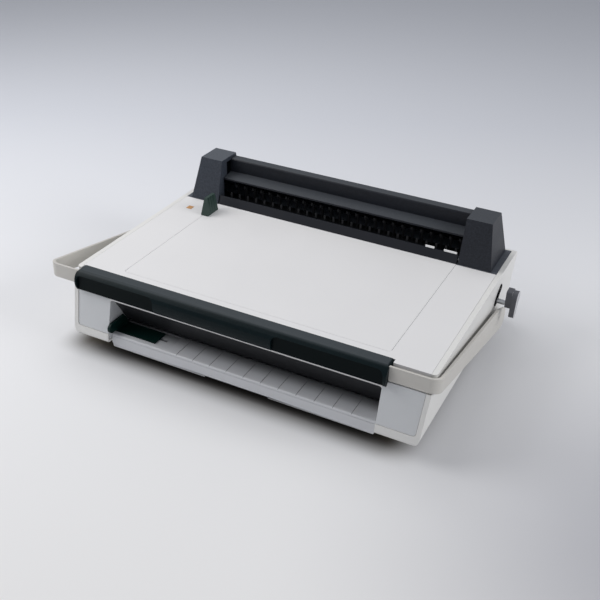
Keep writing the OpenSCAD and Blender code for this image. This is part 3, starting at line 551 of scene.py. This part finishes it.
cross_screw = group_of("cross_screw", "GeometryNodeTree",
                       {"Geometry": "Geometry", "Radius": "Float", "Height": "Float",
                        "Along": "Vector", "Across": "Vector", "Material": "Material"},
                       {"Geometry": "Geometry"})
entry = node_at(cross_screw, "NodeGroupInput", -900, 0).outputs
head = node_at(cross_screw, "GeometryNodeMeshCylinder", -650, 200,
               {"Vertices": 28, "Radius": entry["Radius"], "Depth": entry["Height"]})
cut = node_at(cross_screw, "GeometryNodeMeshBoolean", -200, 100, {"Mesh 1": head.outputs["Mesh"]},
              operation="DIFFERENCE")
level = node_at(cross_screw, "ShaderNodeCombineXYZ", -650, -400, {"Z": entry["Height"]})
for row, arm in enumerate(("Along", "Across")):
    bar = node_at(cross_screw, "GeometryNodeMeshCube", -650, -100 - 150 * row, {"Size": entry[arm]})
    raised = node_at(cross_screw, "GeometryNodeTransform", -400, -100 - 150 * row,
                     {"Geometry": bar.outputs["Mesh"], "Translation": level.outputs["Vector"]})
    cross_screw.links.new(raised.outputs["Geometry"], cut.inputs["Mesh 2"])
turned = node_at(cross_screw, "GeometryNodeTransform", 0, 100,
                 {"Geometry": cut.outputs["Mesh"], "Rotation": (math.radians(-90), 0, 0)})
copies = node_at(cross_screw, "GeometryNodeInstanceOnPoints", 200, 0,
                 {"Points": entry["Geometry"], "Instance": turned.outputs["Geometry"]})
made_real(cross_screw, 400, copies.outputs["Instances"], entry["Material"])

screw_zinc = steel("screw_zinc", linear(190, 192, 196), 0.28, stretch=(300, 300, 300))
head_low, head_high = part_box("screws")
head_radius = 0.003
arm_length, arm_width, arm_depth = 0.004, 0.0007, 0.0014
screws = path_object("cover_screws", [(x, (head_low[1] + head_high[1]) / 2, z)
                                      for x in (head_low[0] + head_radius, head_high[0] - head_radius)
                                      for z in (head_low[2] + head_radius, head_high[2] - head_radius)])
grown(screws, cross_screw, Radius=head_radius, Height=head_high[1] - head_low[1],
      Along=(arm_length, arm_width, arm_depth), Across=(arm_width, arm_length, arm_depth),
      Material=screw_zinc)
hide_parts("screws")
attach(screws, "machine")

# ---------------------------------------------------------------- handle
# A flat steel strap bent into a U and painted stone grey, fixed to the ends of its cross
# shaft, with a moulded dark green grip over its front bar. Two thin rubber pads below take
# the bar's ends at rest.

strap_paint = moulding("strap_stone_paint", linear(196, 193, 187), 0.42, cloud=0.02, grain=1500,
                       relief=0.00002)
softened("handle_bar", "handle_strap", "handle", strap_paint, edge=0.0007)
grip_green = moulding("grip_green_abs", linear(12, 24, 27), 0.38, cloud=0.4, grain=450, speckle=2,
                      relief=0.00016, gloss=0.10, dust_and_sheen=0.15)
# the shaft's end is painted over together with the strap's right arm
shaft = softened("handle_shaft", "handle_cross_shaft", "handle", plate_steel, edge=0.0004)
painted_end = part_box("handle_shaft")[1][0] - 0.002
second_finish(shaft, strap_paint, lambda centre, normal: centre[0] > painted_end)
# the flat pads at the grip's two ends are smoother than the rest of it, and coloured darker as painted
# shade in their recesses
shaded_pad_green = moulding("grip_pad_painted_shade_green", linear(4, 13, 15), 0.36, cloud=0.2, grain=1000, relief=0.00005,
                     gloss=0.06)
grip = softened("handle_grip", "handle_grip_moulding", "handle", grip_green,
                edge=0.0012, steps=3)
pad_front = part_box("handle_grip")[0][1] + 0.0042
pad_play, facing_front = 0.0004, -0.97


def on_grip_pad(centre, normal):
    """Tells whether a face of the grip belongs to one of its two flat pads."""
    return normal[1] < facing_front and abs(centre[1] - pad_front) < pad_play


second_finish(grip, shaded_pad_green, on_grip_pad)
rest_rubber = moulding("rest_pad_rubber", linear(150, 149, 145), 0.7, cloud=0.08, gloss=0.3)
softened("handle_stops", "handle_rest_pads", "machine", rest_rubber, edge=0.0003)

# ---------------------------------------------------------------- comb lever
# Grey moulded lever with a paler end cap, pressed onto the bent steel crank that comes out
# of the right side. A black rubber lip lines the curved slot in which the crank swings.

lever_grey = moulding("lever_grey_abs", linear(84, 85, 90), 0.40, cloud=0.15)
lever_cap = moulding("lever_cap_grey", linear(178, 178, 181), 0.35)
lever = softened("opener_paddle", "comb_lever", "opener", lever_grey, edge=0.0010, steps=3)
facing_out = 0.85
second_finish(lever, lever_cap, lambda centre, normal: normal[0] > facing_out)

shaft_low, shaft_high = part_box("opener_shaft")
swing_centre = Vector((0, (shaft_low[1] + shaft_high[1]) / 2, (shaft_low[2] + shaft_high[2]) / 2))
swing_radius, lip_reach = 0.034, 0.0058
low_end, high_end = math.radians(17), math.radians(49)
wall_foot, wall_foot_height = 0.2568, 0.036
wall_lean = 0.0045 / 0.078


def on_side_wall(point):
    """The point pushed out to the casing's leaning right wall."""
    return (wall_foot + wall_lean * (point[2] - wall_foot_height), point[1], point[2])


def slot_side(angle, turn):
    """A point of the lip at one place along the slot, turned round it from its outer side."""
    outward = Vector((0, -math.cos(angle), math.sin(angle)))
    along = Vector((0, math.sin(angle), math.cos(angle)))
    side = math.cos(turn) * outward + math.sin(turn) * along
    return on_side_wall(swing_centre + swing_radius * outward + lip_reach * side)


lip_steps = 8
arc = high_end - low_end
part = [i / lip_steps for i in range(lip_steps)]
lip_points = [slot_side(low_end + arc * p, 0) for p in part]
lip_points += [slot_side(high_end, math.pi * p) for p in part]
lip_points += [slot_side(high_end - arc * p, math.pi) for p in part]
lip_points += [slot_side(low_end, math.pi + math.pi * p) for p in part]
lip_rubber = moulding("slot_lip_rubber", linear(20, 20, 22), 0.6, cloud=0.1, gloss=0.3)
slot_lip = path_object("lever_slot_lip", lip_points,
                       [(i, (i + 1) % len(lip_points)) for i in range(len(lip_points))])
grown(slot_lip, ruled_line, Radius=0.0011, Material=lip_rubber)
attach(slot_lip, "machine")

# ---------------------------------------------------------------- edge guide and drawer
# Dark green guide that slides in the table's bay, and the chip drawer: a moulded tray with
# a front painted like the table, running on the pan.

guide_green = moulding("guide_green_abs", linear(6, 33, 30), 0.4, cloud=0.2, gloss=0.2)
softened("edge_guide", "sheet_edge_guide", "edge_guide", guide_green, edge=0.0004)
softened("drawer_front", "drawer_front_panel", "drawer", table_paint, edge=0.0006)
tray_dark = moulding("tray_dark_abs", linear(60, 62, 68), 0.5)
softened("chip_tray", "chip_tray_box", "drawer", tray_dark, edge=0.0004)
